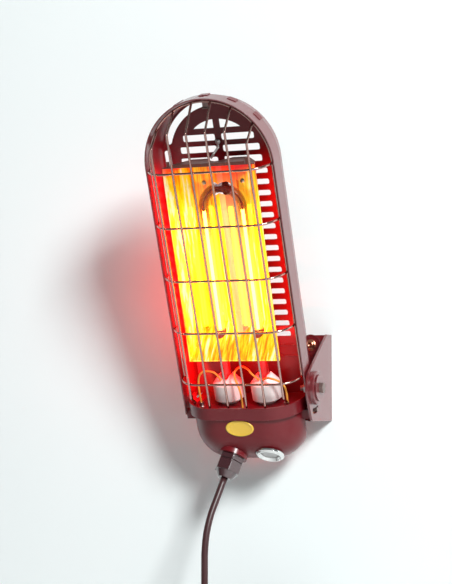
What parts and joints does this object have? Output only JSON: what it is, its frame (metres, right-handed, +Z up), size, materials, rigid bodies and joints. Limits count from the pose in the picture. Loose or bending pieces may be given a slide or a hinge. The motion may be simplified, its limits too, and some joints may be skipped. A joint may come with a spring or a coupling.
{
  "type": "wall-mounted infrared patio heater",
  "caption": "Arched tilting wall heater with a quartz lamp, W reflector and wire guard on a one-sided bracket, with a cable gland, push switch and plug lead.",
  "frame": {"origin": "middle of the wall plate's back face, which lies on the wall", "axes": "+X right, +Y into the wall, +Z up; the heater stands out in -Y and tilts about X"},
  "size_m": [0.1561, 0.2048, 0.6864],
  "materials": {
    "paint": "glossy dark red enamel",
    "cup_paint": "glossy dark red enamel",
    "chrome": "bright chrome",
    "reflector": "polished sheet, lit warm by the lamp",
    "steel": "zinc-plated steel",
    "quartz": "clear quartz",
    "glow": "glowing coil",
    "ceramic": "white glazed ceramic",
    "lead": "braided glass-fibre sleeve",
    "black": "glossy black nylon",
    "button": "satin black",
    "cable": "smooth rubber jacket",
    "seal": "matt rubber"
  },
  "bodies": {
    "bracket": {"wall_bracket": "paint", "pivot_disc": "paint"},
    "heater": {"pivot_bolt": "steel", "pivot_washer": "steel", "pivot_spacer": "steel", "pivot_nut": "steel", "stop_pin": "steel", "housing_band": "paint", "apex_clip": "steel", "back_panel": "paint", "panel_tabs": "paint", "side_screws": "steel", "reflector": "reflector", "reflector_cap": "steel", "reflector_posts": "steel", "reflector_rivets": "steel", "top_hook": "steel", "lamp_tube": "quartz", "lamp_ends": "black", "lamp_coil": "glow", "lamp_bridge": "steel", "lamp_holder_left": "ceramic", "lamp_holder_right": "ceramic", "lamp_shelf": "cup_paint", "lamp_leads": "lead", "lead_eyelets": "steel", "wire_guard": "chrome", "base_collar": "paint", "base_cup": "cup_paint", "terminal_block": "ceramic", "gland_body": "black", "gland_seal": "seal", "gland_nut": "black", "gland_locknut": "black", "switch_bezel": "chrome", "switch_locknut": "steel", "cord_lead": "cable", "cord_coil": "cable", "cord_tie": "button", "plug_body": "button", "plug_pins": "steel"},
    "button": {"switch_button": "button"}
  },
  "joints": [
    {"name": "tilt", "type": "hinge", "parent": "bracket", "child": "heater", "pos_m": [0, -0.06, -0.01125], "axis": [1, 0, 0], "range_deg": [-22, 4]},
    {"name": "switch_press", "type": "slide", "parent": "heater", "child": "button", "axis": [0, 0.4226, 0.9063], "range_m": [0, 0.002], "stiffness_N_per_m": 400}
  ]
}
